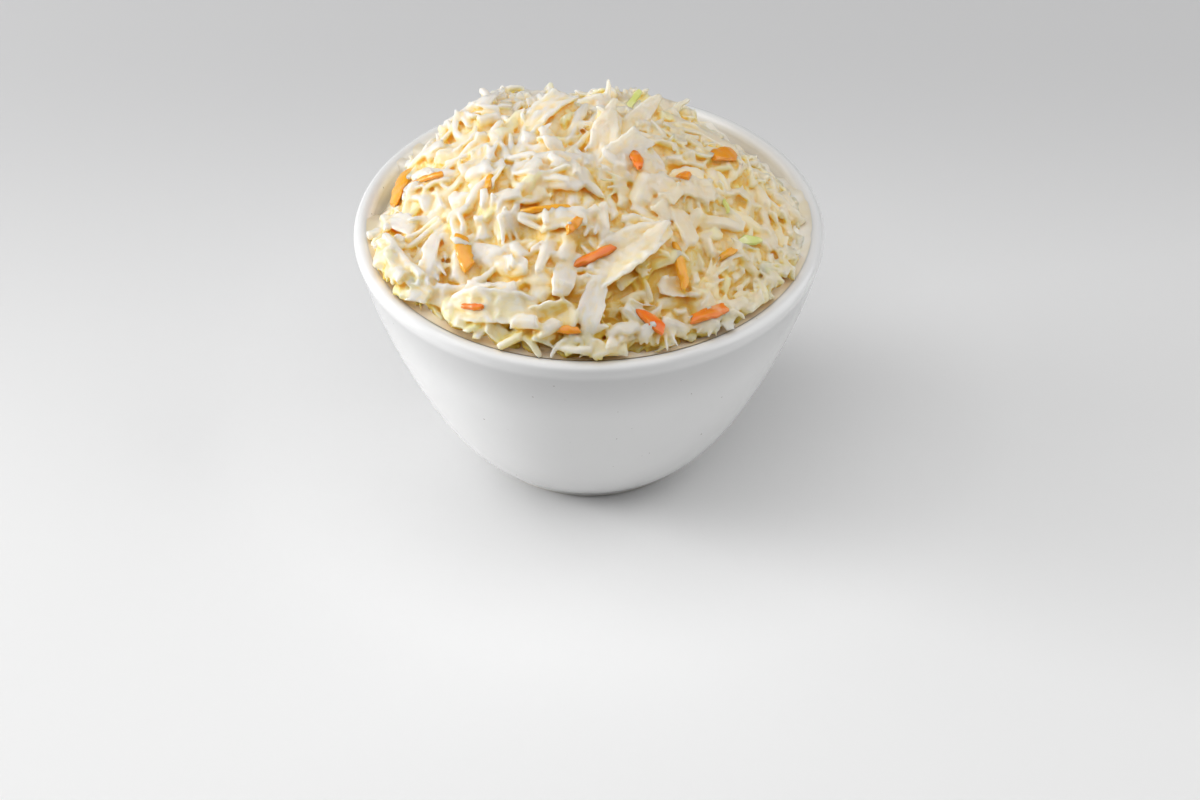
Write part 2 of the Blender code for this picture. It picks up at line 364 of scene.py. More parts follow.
def cabbage(name, settings, painted_light_shift=0.0):
    """Dressed cabbage with painted light and shade: white where it lies open to the light, and cream, straw and
    gold as painted shade in creases, deep gaps, on faces turned down and on the side of the heap turned from
    the lights.
    """
    shader = Shader(
        name, Roughness=0.42, Coat_Weight=0.1, Coat_Roughness=0.25, Subsurface_Weight=1.0,
        Subsurface_Scale=3.4 * MM, Subsurface_Radius=(1.0, 0.86, 0.66),
    )
    tint = shader.attribute("tint")
    drawn = shader.across_fibre(0.16)
    mottle = shader.span(shader.noise(240.0, 3.0, 0.6), 0.3, 0.7, -0.08, 0.08)
    vein = shader.span(shader.noise(900.0, 2.0, 0.5, drawn), 0.3, 0.7, -0.10, 0.10)
    # The shift moves all of this material's pieces towards painted light when raised and towards painted shade
    # when lowered
    own = shader.span(tint, 0.0, 1.0, 0.12 + painted_light_shift, -0.24 + painted_light_shift)
    # Painted light on edges and painted shade in creases, from how far each point stands out
    ridge = shader.span(shader.attribute("ridge"), 0.15, 0.85, -0.10, 0.10)
    # Painted shade deep in gaps, from how much sky each point sees over the heap; mottle is the cabbage's own
    # tone
    light = shader.math("ADD", shader.attribute("open"), mottle)
    light = shader.math("ADD", light, shader.math("ADD", own, ridge))
    # Painted shade on faces that turn away from the sky, painted light on faces turned up
    facing = shader.add("ShaderNodeSeparateXYZ", {0: shader.add("ShaderNodeNewGeometry").outputs["Normal"]})
    facing_shade = shader.span(facing.outputs["Z"], -0.2, 0.9, -0.26, 0.05)
    light = shader.math("ADD", shader.math("ADD", light, vein), facing_shade)
    # Painted shade: the right side of the heap, turned from the stronger lights, is painted yellower and darker
    across = shader.add("ShaderNodeSeparateXYZ", {0: shader.position()}).outputs["X"]
    patch = shader.span(shader.noise(110.0, 2.0), 0.3, 0.7, -14.0 * MM, 14.0 * MM)
    far_side_shade = shader.span(shader.math("ADD", across, patch), -22.0 * MM, 34.0 * MM, 0.0, 0.85)
    # Lit and shaded copies: gold and straw for painted shade, cream for painted half shade, white in the light
    deep = shader.mix(shader.span(light, -0.10, 0.26), settings.deep_shade_gold, settings.shade_straw)
    pale = shader.mix(shader.span(light, 0.10, 0.50), deep, settings.half_shade_cream)
    open_colour = shader.mix(far_side_shade, settings.white, settings.far_side_shade)
    white = shader.mix(shader.span(light, 0.48, 1.0), pale, open_colour)
    leaf_tinge = (0.80, 0.80, 0.36)
    leafy = shader.mix(shader.span(tint, 0.86, 1.0, 0.0, 0.4), white, leaf_tinge)
    strands = shader.bump(shader.noise(1000.0, 3.0, 0.6, drawn), 0.5, 0.3 * MM)
    film = shader.bump(shader.noise(380.0, 2.0), 0.3, 0.3 * MM, strands)
    return shader.finish(Base_Color=leafy, Normal=film)


def pooled_dressing(settings):
    """Dressing that has run together along the bowl's wall."""
    shader = Shader(
        "dressing", Roughness=0.3, Coat_Weight=0.2, Coat_Roughness=0.15, Subsurface_Weight=0.2,
        Subsurface_Scale=2.0 * MM, Subsurface_Radius=(1.0, 0.8, 0.6),
    )
    yellower = (0.86, 0.78, 0.60)
    cloud = shader.span(shader.noise(160.0, 2.0), 0.35, 0.65)
    return shader.finish(Base_Color=shader.mix(cloud, yellower, settings.dressing))


def carrot_flesh(settings):
    """Wet grated carrot, paler where dressing clings to it."""
    orange, pith, dressed = (1.0, 0.43, 0.025), (1.0, 0.46, 0.05), (0.95, 0.80, 0.58)
    shader = Shader(
        "carrot", Roughness=0.32, Coat_Weight=0.35, Coat_Roughness=0.15, Subsurface_Weight=0.6,
        Subsurface_Scale=2.0 * MM, Subsurface_Radius=(1.0, 0.4, 0.1),
    )
    tint = shader.attribute("tint")
    deep = shader.mix(shader.span(tint, 0.0, 1.0), settings.carrot, orange)
    film = shader.span(shader.noise(260.0, 3.0), 0.60, 0.74, 0.0, 0.3)
    grain = shader.noise(1100.0, 3.0, 0.6, shader.across_fibre(0.12))
    deep = shader.mix(shader.span(grain, 0.35, 0.7, 0.0, 0.35), deep, pith)
    fine = shader.bump(grain, 0.5, 0.25 * MM)
    return shader.finish(Base_Color=shader.mix(film, deep, dressed), Normal=fine)


def green_leaf(settings):
    """Thin pieces of the cabbage's outer leaves."""
    vein, dressed = (0.86, 0.86, 0.50), (0.95, 0.93, 0.84)
    shader = Shader(
        "green_leaf", Roughness=0.35, Coat_Weight=0.3, Coat_Roughness=0.2, Subsurface_Weight=0.3,
        Subsurface_Scale=1.2 * MM, Subsurface_Radius=(0.7, 0.9, 0.3),
    )
    patch = shader.span(shader.noise(150.0, 3.0), 0.35, 0.65)
    film = shader.span(shader.noise(300.0, 3.0), 0.56, 0.7, 0.0, 0.6)
    leaf = shader.mix(patch, settings.green, vein)
    fine = shader.bump(shader.noise(800.0, 3.0), 0.3, 0.2 * MM)
    return shader.finish(Base_Color=shader.mix(film, leaf, dressed), Normal=fine)


# ---------------------------------------------------------------- shapes of shreds


def smooth_values(values, places):
    """Values given at even places from -1 to 1, read smoothly at other places."""
    knots = np.linspace(-1.0, 1.0, len(values))
    wave = np.interp(places, knots, values)
    step = 0.18
    return (wave + np.interp(places - step, knots, values) + np.interp(places + step, knots, values)) / 3.0


def slab_ring(ring):
    """Across and above shares of the points round a flat section with rounded edges."""
    angles = np.arange(ring) * 2.0 * math.pi / ring
    across = np.cos(angles)
    above = np.sign(np.sin(angles)) * np.sqrt(1.0 - np.abs(across) ** 4)
    above[np.abs(np.sin(angles)) < 1e-6] = 0.0
    return across, above


def shred_shape(
    length, width, thickness, widths=(0.9, 1.0, 1.0, 0.9), bow=0.0, sway=0.0, twist=0.0, cup=0.0,
    slants=(0.0, 0.0), wave=0.0, ragged=0.2 * MM, rib=0.0, lump=0.2 * MM, stations=11, ring=8, seed=0.0,
):
    """Points and faces of one cut piece that lies along X with its flat side up.

    widths are shares of the width along its length. bow and sway are the angles that it turns through
    upwards and sideways, twist turns it about its length, cup raises its edges, slants shear its two cut
    ends, wave lifts it in waves, ragged tears its edges and ends, rib thickens its middle, lump dents it.
    """
    rim = np.array([-1.0, -0.97, -0.88])
    places = np.concatenate([rim, np.linspace(-0.7, 0.7, stations - 6), -rim[::-1]])
    closing = np.ones(stations)
    for step, share in enumerate((0.45, 0.82, 0.97)):
        closing[[step, -1 - step]] = share
    shares = smooth_values(widths, places)
    across, above = slab_ring(ring)
    points = []
    for i, place in enumerate(places):
        along = 0.5 * length * place / MM
        tears = [
            2.2 * noise.noise(Vector((along / 2.0, seed, side)))
            + noise.noise(Vector((along / 0.8, seed, side)))
            for side in (3.0, 9.0)
        ]
        y = across * 0.5 * width * shares[i] * (0.7 + 0.3 * closing[i])
        y = y + ragged * np.where(across >= 0.0, tears[0], -tears[1]) * np.abs(across)
        level = 1.0 + 0.35 * noise.noise(Vector((place * 1.7, seed, 0.0)))
        z = above * 0.5 * thickness * closing[i] * level * (1.0 + rib * np.exp(-(across / 0.3) ** 2))
        z = z + cup * (y / (0.5 * width)) ** 2
        dents = [noise.noise(Vector((along / 1.6, a * width / (3.2 * MM), seed + 5.0))) for a in across]
        z = z + lump * np.array(dents)
        turn = 0.5 * twist * place
        y, z = y * math.cos(turn) - z * math.sin(turn), y * math.sin(turn) + z * math.cos(turn)
        slant = slants[0] if place < 0.0 else slants[1]
        end = 31.0 * np.sign(place)
        jags = [noise.noise(Vector((a * 0.5 * width / (0.8 * MM), seed, end))) for a in across]
        x = 0.5 * length * place + (slant * y + 4.0 * ragged * np.array(jags)) * abs(place) ** 3
        z = z + wave * math.sin(2.6 * place + seed)
        points.append(np.stack([x, y, z], -1))
    points = bend(np.concatenate(points), length, bow, sway)
    faces = []
    for i in range(stations - 1):
        for j in range(ring):
            k = (j + 1) % ring
            faces.append((i * ring + j, i * ring + k, (i + 1) * ring + k, (i + 1) * ring + j))
    faces.append(tuple(range(ring))[::-1])
    faces.append(tuple((stations - 1) * ring + j for j in range(ring)))
    return points, faces


def bend(points, length, bow, sway):
    """Bends points along X round arcs: bow lifts the ends, sway turns them sideways."""
    made = points.copy()
    for angle, axis in ((bow, 2), (sway, 1)):
        if abs(angle) < 1e-4:
            continue
        radius = length / angle
        turn = made[:, 0] / radius
        arm = radius - made[:, axis]
        made[:, 0], made[:, axis] = arm * np.sin(turn), radius - arm * np.cos(turn)
    return made


def joined(shapes):
    """Several (points, faces) as one."""
    points, faces, start = [], [], 0
    for part_points, part_faces in shapes:
        points.append(part_points)
        faces += [tuple(start + i for i in face) for face in part_faces]
        start += len(part_points)
    return np.concatenate(points), faces


def frayed_shape(length, strands, spread, dice):
    """A bundle of fine strands that part towards one end."""
    shapes = []
    for i in range(strands):
        side = (i + 0.5) / strands - 0.5
        reach = length * dice.uniform(0.7, 1.0)
        points, faces = shred_shape(
            reach, dice.uniform(1.0, 1.6) * MM, dice.uniform(0.9, 1.2) * MM, (1.0, 1.0, 0.85, 0.5),
            bow=dice.uniform(-0.6, 0.5), sway=side * spread, stations=9, ring=6, seed=dice.uniform(0, 99),
        )
        points[:, 0] += 0.5 * (reach - length)
        turn = side * spread
        x = points[:, 0] + 0.5 * length
        y = points[:, 1]
        points[:, 0] = x * math.cos(turn) - y * math.sin(turn) - 0.5 * length
        points[:, 1] = x * math.sin(turn) + y * math.cos(turn) + side * 0.7 * strands * MM
        points[:, 2] += dice.uniform(-0.3, 0.5) * MM
        shapes.append((points, faces))
    return joined(shapes)


# The cuts of cabbage, a row each: how many shapes, their share of the heap, then ranges of length, width and
# thickness in millimetres, of bow, sway and twist in radians, of cup in millimetres, of the ends' widths
CUTS = (
    (16, 0.30, (7.0, 13.0), (2.4, 3.8), (1.2, 1.7),
     (-1.2, 0.7), (-0.8, 0.8), (-1.2, 1.2), (-0.3, 0.5), (0.6, 1.0)),
    (14, 0.26, (5.5, 9.0), (3.6, 5.8), (1.3, 1.9),
     (-0.7, 0.5), (-0.3, 0.3), (-0.7, 0.7), (-0.8, 0.9), (0.6, 1.1)),
    (10, 0.14, (8.0, 13.0), (5.0, 7.5), (1.1, 1.5),
     (-0.9, 0.6), (-0.3, 0.3), (-0.8, 0.8), (-1.6, 1.9), (0.4, 1.0)),
    (6, 0.08, (5.0, 9.5), (2.8, 4.2), (2.2, 2.9),
     (-0.5, 0.5), (-0.5, 0.5), (-0.3, 0.3), (-0.1, 0.1), (0.7, 1.0)),
    (8, 0.08, (6.0, 11.0), (1.3, 1.9), (1.0, 1.4),
     (-1.3, 1.0), (-1.2, 1.2), (-0.6, 0.6), (0.0, 0.0), (0.5, 1.0)),
)
FRAYED_SHAPES = 18
FRAYED_SHARE = 0.30


def mixed_shapes(dice):
    """The shapes that the cabbage is chopped into, with the share of the heap that each makes up."""
    shapes, weights = [], []
    for count, share, lengths, widths, thicknesses, bows, sways, twists, cups, ends in CUTS:
        for _ in range(count):
            length, width = dice.uniform(*lengths) * MM, dice.uniform(*widths) * MM
            shapes.append(shred_shape(
                length, width, dice.uniform(*thicknesses) * MM,
                (dice.uniform(*ends), dice.uniform(0.85, 1.1), dice.uniform(0.85, 1.1), dice.uniform(*ends)),
                bow=dice.uniform(*bows), sway=dice.uniform(*sways), twist=dice.uniform(*twists),
                cup=dice.uniform(*cups) * MM, slants=(dice.uniform(-0.7, 0.7), dice.uniform(-0.7, 0.7)),
                wave=dice.uniform(0.0, 0.5) * MM, ragged=(0.07 * MM + 0.05 * width), rib=0.2,
                lump=0.12 * width, stations=14, ring=12 if width > 4.5 * MM else 8,
                seed=dice.uniform(0.0, 99.0),
            ))
            weights.append(share / count)
    for _ in range(FRAYED_SHAPES):
        strands = dice.choice((3, 4, 4, 5, 6, 7))
        shapes.append(frayed_shape(dice.uniform(7.0, 11.5) * MM, strands, dice.uniform(0.4, 1.3), dice))
        weights.append(FRAYED_SHARE / FRAYED_SHAPES)
    return shapes, weights


# ---------------------------------------------------------------- the heap's height map


def heap_envelope():
    """Height of the frame's coleslaw over the whole map, softened."""
    node = frame["nodes"]["coleslaw"]
    mesh = node.data
    tree = BVHTree.FromPolygons([v.co for v in mesh.vertices], [p.vertices for p in mesh.polygons])
    heights = np.full((MAP_COUNT, MAP_COUNT), np.nan)
    above = HEAP_BOX[1].z + 10.0 * MM
    limit = INNER_TOP_RADIUS - 1.2 * MM
    stride = 2
    for i in range(0, MAP_COUNT, stride):
        for j in range(0, MAP_COUNT, stride):
            x, y = -MAP_HALF + i * MAP_STEP, -MAP_HALF + j * MAP_STEP
            reach = math.hypot(x, y)
            if reach > limit:
                x, y = x * limit / reach, y * limit / reach
            hit = tree.ray_cast(Vector((x, y, above)), Vector((0.0, 0.0, -1.0)))[0]
            heights[i:i + stride, j:j + stride] = hit.z if hit else RIM_HEIGHT - 3.0 * MM
    heights = blurred(heights, 2.2 * MM)
    for i in range(MAP_COUNT):
        for j in range(MAP_COUNT):
            spot = Vector((-MAP_HALF + i * MAP_STEP, -MAP_HALF + j * MAP_STEP, 0.0))
            fade = ramp(LUMP_RADIUS - spot.length, LUMP_FADE)
            for rise, size, seed in LUMPS:
                heights[i, j] += rise * fade * noise.noise(spot / size + Vector((0.0, 0.0, seed)))
            for x, y, spread, rise in SHOULDERS:
                away = math.hypot(spot.x / MM - x, spot.y / MM - y) / spread
                heights[i, j] += rise * MM * math.exp(-0.5 * away ** 2)
            side = math.cos(math.atan2(spot.y, spot.x) - STAND_OFF_SIDE)
            step = ramp(spot.length - STAND_OFF_RADIUS, STAND_OFF_RUN)
            heights[i, j] -= STAND_OFF_DEPTH * step * ramp(side - STAND_OFF_COSINE, STAND_OFF_FADE)
    return heights


def dressing_level(heights, bridge, down, brink, slope):
    """The height that dressing comes up to: down from the tops that it bridges, by a slope from the brink."""
    edge = 45.0 * MM
    share = np.minimum(1.0, edge / np.maximum(MAP_REACH, MM))
    level = read_map(heights, MAP_LINE[:, None] * share, MAP_LINE[None, :] * share)
    level = blurred(closed(level, bridge), 0.5 * MM) - down
    return np.minimum(level, brink + slope * (INNER_TOP_RADIUS - MAP_REACH))


def blurred(heights, reach):
    """A height map softened over a distance by three passes of a running mean."""
    half = max(1, int(round(reach / MAP_STEP)))
    size = 2 * half + 1
    made = heights
    for _ in range(3):
        for axis in (0, 1):
            padded = np.pad(made, [(half, half) if a == axis else (0, 0) for a in (0, 1)], mode="edge")
            total = np.cumsum(padded, axis=axis)
            total = np.concatenate([np.zeros_like(np.take(total, [0], axis)), total], axis)
            made = (np.take(total, range(size, total.shape[axis]), axis)
                    - np.take(total, range(0, total.shape[axis] - size), axis)) / size
    return made


def rolled(heights, radius, sign):
    """The heights that a ball rolled over a map (sign 1) or under it (sign -1) reaches."""
    reach = int(radius / MAP_STEP)
    made = sign * heights
    best = np.full_like(made, -np.inf)
    for i in range(-reach, reach + 1):
        for j in range(-reach, reach + 1):
            away = math.hypot(i, j) * MAP_STEP
            if away <= radius:
                cap = math.sqrt(radius ** 2 - away ** 2) - radius
                best = np.maximum(best, np.roll(made, (i, j), (0, 1)) + cap)
    return sign * best


def closed(heights, radius):
    """A height map with its gaps filled wherever a ball of this radius can't enter."""
    return rolled(rolled(heights, radius, 1), radius, -1)


def read_map(heights, x, y):
    """Heights at any places, blended from the four cells round each."""
    i = np.clip((np.asarray(x) + MAP_HALF) / MAP_STEP, 0.0, MAP_COUNT - 1.001)
    j = np.clip((np.asarray(y) + MAP_HALF) / MAP_STEP, 0.0, MAP_COUNT - 1.001)
    row, column = i.astype(int), j.astype(int)
    u, v = i - row, j - column
    near = heights[row, column] * (1.0 - v) + heights[row, column + 1] * v
    far = heights[row + 1, column] * (1.0 - v) + heights[row + 1, column + 1] * v
    return near * (1.0 - u) + far * u


class Pile:
    """What has been laid so far: its height map, and the places and shapes of every piece."""

    def __init__(self):
        self.envelope = heap_envelope()
        self.heights = None
        self.dice = random.Random(41)
        self.shapes = []
        self.weights = []
        self.lower = []
        self.upper = []
        self.leaves = []
        self.carrots = []
        self.greens = []

    def start(self, depth):
        """The map before anything is laid: the core, and the bowl's lip round it."""
        away = MAP_REACH - (RIM_RADIUS - LIP_RADIUS)
        lip = LIP_HEIGHT + np.sqrt(np.maximum(LIP_RADIUS ** 2 - away ** 2, 0.0))
        self.heights = np.where(away > -LIP_RADIUS, lip, self.envelope - depth)

    def cells(self, points):
        """Map rows and columns under points."""
        cell = np.rint((points[:, :2] + MAP_HALF) / MAP_STEP).astype(int)
        return np.clip(cell, 0, MAP_COUNT - 1).T

    def under(self, points):
        """Heights of the map under points."""
        i, j = self.cells(points)
        return self.heights[i, j]

    def lay(self, points, x, y, heading, tilt=0.0, roll=0.0, sink=0.0, nest=0.62, follow=0.8, top=None):
        """Rest a shape at x, y and return its matrix, or None if it would stand over top above the envelope.

        It leans with what it lies on, times follow, and then by tilt and roll. nest is the share of it that
        comes down to what lies there: at 1 it rests on the highest point, at less it settles in between.
        """
        turn = Matrix.Rotation(heading, 3, "Z")
        lean = Matrix.Rotation(-tilt, 3, "Y") @ Matrix.Rotation(roll, 3, "X")
        for _ in range(4):
            flat = points @ np.array(turn).T
            fit = np.column_stack([flat[:, 0], flat[:, 1], np.ones(len(flat))])
            slope = follow * np.linalg.lstsq(fit, self.under(flat + np.array((x, y, 0.0))), rcond=None)[0]
            ease = min(1.0, 1.0 / max(math.hypot(slope[0], slope[1]), 1e-6))
            up = Vector((-slope[0] * ease, -slope[1] * ease, 1.0)).normalized()
            along = Vector((math.cos(heading), math.sin(heading), 0.0))
            along = (along - up * along.dot(up)).normalized()
            frame_turn = Matrix((along, up.cross(along), up)).transposed() @ lean
            placed = points @ np.array(frame_turn).T + np.array((x, y, 0.0))
            z = float(np.quantile(self.under(placed) - placed[:, 2], nest)) - sink
            placed[:, 2] += z
            over = float((np.hypot(placed[:, 0], placed[:, 1]) - inner_limit(placed[:, 2])).max())
            if over <= 0.0:
                break
            reach = math.hypot(x, y)
            x, y = x - x / reach * (over + 0.1 * MM), y - y / reach * (over + 0.1 * MM)
        else:
            return None
        over = max(0.0, placed[:, 2].max() - CEILING)
        if over > 0.0 and top is not None:
            return None
        z -= over
        placed[:, 2] -= over
        if top is not None:
            i, j = self.cells(placed)
            if float(np.quantile(placed[:, 2] - self.envelope[i, j], 0.9)) > top:
                return None
        matrix = frame_turn.to_4x4()
        matrix.translation = Vector((x, y, z))
        self.raise_by(placed)
        return matrix

    def raise_by(self, placed):
        """Lifts the map to the tops of what has been placed."""
        i, j = self.cells(placed)
        np.maximum.at(self.heights, (i, j), placed[:, 2])

    def soft_top(self):
        """The top of all that has been laid, softened."""
        return blurred(self.heights, 0.5 * MM)

    def lowest_spot(self, tries, inner, outer, spare, sector):
        """Of a few random places between two radii, the one where the heap is furthest below its envelope."""
        best, best_room = None, spare
        for _ in range(tries):
            radius = math.sqrt(self.dice.uniform(inner * inner, outer * outer))
            angle = math.radians(self.dice.uniform(*sector))
            spot = np.array([[radius * math.cos(angle), radius * math.sin(angle), 0.0]])
            i, j = self.cells(spot)
            room = float(self.envelope[i[0], j[0]] - self.heights[i[0], j[0]])
            if room > best_room:
                best, best_room = spot[0], room
        return best


PILE = Pile()


def filled(points, faces):
    """Points spread over a shape's faces, close enough to leave no hole in the height map."""
    made = [points]
    for face in faces:
        corners = points[list(face)]
        if len(face) == 4:
            for a in (0.25, 0.5, 0.75):
                low = corners[0] + (corners[3] - corners[0]) * a
                high = corners[1] + (corners[2] - corners[1]) * a
                made.append(np.stack([low, (low + high) / 2.0, high]))
        else:
            made.append(corners.mean(0, keepdims=True))
    return np.concatenate(made)


# ---------------------------------------------------------------- Geometry Nodes


class Tree(Nodes):
    """A Geometry Nodes group with named inputs."""

    def __init__(self, name, **inputs):
        self.tree = bpy.data.node_groups.new(name, "GeometryNodeTree")
        face = self.tree.interface
        face.new_socket("Geometry", in_out="INPUT", socket_type="NodeSocketGeometry")
        face.new_socket("Geometry", in_out="OUTPUT", socket_type="NodeSocketGeometry")
        self.sockets = {}
        for key, (kind, default) in inputs.items():
            socket = face.new_socket(key.replace("_", " "), in_out="INPUT", socket_type="NodeSocket" + kind)
            if default is not None:
                socket.default_value = default
            self.sockets[key] = socket
        self.source = self.tree.nodes.new("NodeGroupInput")
        self.sink = self.tree.nodes.new("NodeGroupOutput")

    def given(self, key):
        """One of the group's own inputs."""
        return self.source.outputs[key.replace("_", " ")]

    def named(self, name, data_type):
        """A value stored with each point."""
        made = self.add("GeometryNodeInputNamedAttribute", {"Name": name}, data_type=data_type)
        return self.find(made.outputs, "Attribute")

    def end(self, geometry, material):
        """Realises what is left as instances, smooths and paints it."""
        real = self.add("GeometryNodeRealizeInstances", {"Geometry": geometry})
        smooth = self.add("GeometryNodeSetShadeSmooth", {"Geometry": real.outputs[0]})
        paint = self.add("GeometryNodeSetMaterial", {"Geometry": smooth.outputs[0], "Material": material})
        self.feed(self.sink.inputs[0], paint.outputs[0])

    def run(self, made, **values):
        """Runs the group on an object with these inputs and keeps the result as its mesh."""
        modifier = made.modifiers.new(self.tree.name, "NODES")
        modifier.node_group = self.tree
        for key, value in values.items():
            modifier[self.sockets[key].identifier] = value
        return plain_mesh(made)


def laid_shapes_tree():
    """Puts a shape from a collection on every resting place, turned and scaled as it came to rest."""
    tree = Tree(
        "Laid shapes", Shapes=("Collection", None), Material=("Material", None), Seed=("Int", 7),
        Highest_tint=("Float", 1.0),
    )
    shapes = tree.add(
        "GeometryNodeCollectionInfo",
        {"Collection": tree.given("Shapes"), "Separate Children": True, "Reset Children": True},
    )
    turn = tree.add("FunctionNodeEulerToRotation", {"Euler": tree.named("turn", "FLOAT_VECTOR")})
    laid = tree.add("GeometryNodeInstanceOnPoints", {
        "Points": tree.given("Geometry"), "Instance": shapes.outputs[0], "Pick Instance": True,
        "Instance Index": tree.named("kind", "INT"), "Rotation": turn.outputs[0],
        "Scale": tree.named("stretch", "FLOAT_VECTOR"),
    })
    chance = tree.add(
        "FunctionNodeRandomValue", {"Seed": tree.given("Seed"), "Max": tree.given("Highest_tint")},
        data_type="FLOAT",
    )
    tinted = tree.add("GeometryNodeStoreNamedAttribute", {
        "Geometry": laid.outputs[0], "Name": "tint", "Value": tree.find(chance.outputs, "Value"),
    }, data_type="FLOAT", domain="INSTANCE")
    tree.end(tinted.outputs[0], tree.given("Material"))
    return tree


def laid_piece(name, shapes, places, material, seed, highest_tint=1.0):
    """One mesh of every shape in places, which are (shape number, matrix, scale) of a laid piece."""
    source = bpy.data.collections.new(name + "_shapes")
    bpy.context.scene.collection.children.link(source)
    for number, (points, faces) in enumerate(shapes):
        mesh = bpy.data.meshes.new(f"{name}_{number:03d}")
        mesh.from_pydata(points.tolist(), [], faces)
        source.objects.link(bpy.data.objects.new(mesh.name, mesh))
    spots = bpy.data.meshes.new(name)
    spots.from_pydata([tuple(matrix.translation) for _, matrix, _ in places], [], [])
    store(spots, "kind", [kind for kind, _, _ in places], "INT")
    store(spots, "turn", [tuple(matrix.to_euler()) for _, matrix, _ in places], "FLOAT_VECTOR")
    store(spots, "stretch", [tuple(scale) for _, _, scale in places], "FLOAT_VECTOR")
    store(spots, "fibre", [tuple(matrix.to_3x3().col[0]) for _, matrix, _ in places], "FLOAT_VECTOR")
    made = laid_shapes_tree().run(
        link(name, spots), Shapes=source, Material=material, Seed=seed, Highest_tint=highest_tint
    )
    for spare in list(source.objects):
        bpy.data.objects.remove(spare, do_unlink=True)
    bpy.data.collections.remove(source)
    for key in ("kind", "turn", "stretch"):
        if key in made.data.attributes:
            made.data.attributes.remove(made.data.attributes[key])
    return made


def fused(made, grain, soften, most):
    """Runs the closed pieces of a mesh together, as dressing does, and keeps each one's tint and fibre.

    grain is the size of a voxel, soften how often the result is smoothed, most about how many triangles stay.
    """
    points = read_all(made.data.vertices, "co", 3)
    tints = read_all(made.data.attributes["tint"].data, "value")
    fibres = read_all(made.data.attributes["fibre"].data, "vector", 3)
    near = KDTree(len(points))
    for number, point in enumerate(points):
        near.insert(point, number)
    near.balance()
    remesh = made.modifiers.new("Run together", "REMESH")
    remesh.mode = "VOXEL"
    remesh.voxel_size = grain
    remesh.use_smooth_shade = True
    smooth = made.modifiers.new("Soften", "SMOOTH")
    smooth.factor = 0.5
    smooth.iterations = soften
    plain_mesh(made)
    keep_largest_shell(made)
    thin = made.modifiers.new("Thin out", "DECIMATE")
    thin.ratio = min(1.0, most / (2.0 * len(made.data.polygons)))
    plain_mesh(made)
    mesh = made.data
    mesh.shade_smooth()
    found = [near.find(vert.co)[1] for vert in mesh.vertices]
    store(mesh, "tint", tints[found])
    store(mesh, "fibre", fibres[found], "FLOAT_VECTOR")
    return made


def keep_largest_shell(made):
    """Deletes every part of a mesh that isn't joined to its largest one, such as closed hollows."""
    mesh = made.data
    count = len(mesh.vertices)
    first, second = read_all(mesh.edges, "vertices", 2, np.int32).T
    label = np.arange(count)
    while True:
        low = np.minimum(label[first], label[second])
        before = label.copy()
        np.minimum.at(label, first, low)
        np.minimum.at(label, second, low)
        label = label[label]
        if np.array_equal(before, label):
            break
    biggest = np.bincount(label, minlength=count).argmax()
    work = bmesh.new()
    work.from_mesh(mesh)
    work.verts.ensure_lookup_table()
    bmesh.ops.delete(work, geom=[work.verts[i] for i in np.flatnonzero(label != biggest)], context="VERTS")
    work.to_mesh(mesh)
    work.free()


def mark_ridges(made):
    """Stores how far each point stands out of its own piece: 0 in a crease, 0.5 on a flat, 1 on an edge. The
    cabbage paints light on edges and shade in creases from it.
    """
    mesh = made.data
    count = len(mesh.vertices)
    points = read_all(mesh.vertices, "co", 3).astype(float)
    normals = read_all(mesh.vertices, "normal", 3)
    first, second = read_all(mesh.edges, "vertices", 2, np.int32).T
    links = np.bincount(first, minlength=count) + np.bincount(second, minlength=count)
    soft = points.copy()
    for _ in range(5):
        soft = np.stack([
            (np.bincount(first, soft[second, axis], count) + np.bincount(second, soft[first, axis], count))
            / np.maximum(links, 1) for axis in range(3)
        ], -1)
    stand = ((points - soft) * normals).sum(-1)
    store(mesh, "ridge", np.clip(0.5 + stand / (1.2 * MM), 0.0, 1.0).astype(np.float32))


def mark_open(made, heights):
    """Stores how much of the sky each point sees over the heap round it: 0 deep in a gap, 1 on top. The cabbage
    paints shade from it.
    """
    x, y, z = read_all(made.data.vertices, "co", 3).T.astype(float)
    seen = np.zeros(len(x))
    sides = 10
    for side in range(sides):
        angle = 2.0 * math.pi * (side + 0.5) / sides
        rise = np.zeros(len(x))
        for away in (0.7 * MM, 1.4 * MM, 2.4 * MM, 4.0 * MM, 6.5 * MM):
            ridge = read_map(heights, x + away * math.cos(angle), y + away * math.sin(angle))
            rise = np.maximum(rise, (ridge - z) / away)
        seen += 1.0 - rise / np.sqrt(1.0 + rise ** 2)
    store(made.data, "open", (seen / sides).astype(np.float32))
    mark_ridges(made)


# ---------------------------------------------------------------- pieces


def bowl_profile():
    """Half section: floor, inner wall, rolled lip, outer wall, foot ring and the hollow under it."""
    inner = wall_face(FLOOR_HEIGHT, INNER_TOP_RADIUS, INNER_FLOOR_RADIUS, 28)
    points = [(0.0, FLOOR_HEIGHT)] + inner[::-1]
    lip_steps = 20
    for i in range(1, lip_steps + 1):
        angle = math.pi * (1.0 - i / lip_steps)
        radius = RIM_RADIUS - LIP_RADIUS * (1.0 - math.cos(angle))
        points.append((radius, LIP_HEIGHT + LIP_RADIUS * math.sin(angle)))
    points += wall_face(FOOT_HEIGHT, WALL_TOP_RADIUS, WALL_FOOT_RADIUS, 40)[1:]
    edge = 0.35 * MM
    points += [
        (FOOT_RADIUS + 0.1 * MM, FOOT_HEIGHT), (FOOT_RADIUS, FOOT_HEIGHT - 0.2 * MM), (FOOT_RADIUS, edge),
        (FOOT_RADIUS - edge, 0.0), (FOOT_RADIUS - FOOT_WIDTH + edge, 0.0),
        (FOOT_RADIUS - FOOT_WIDTH, edge), (FOOT_RADIUS - FOOT_WIDTH - edge, RECESS), (0.0, RECESS),
    ]
    return points


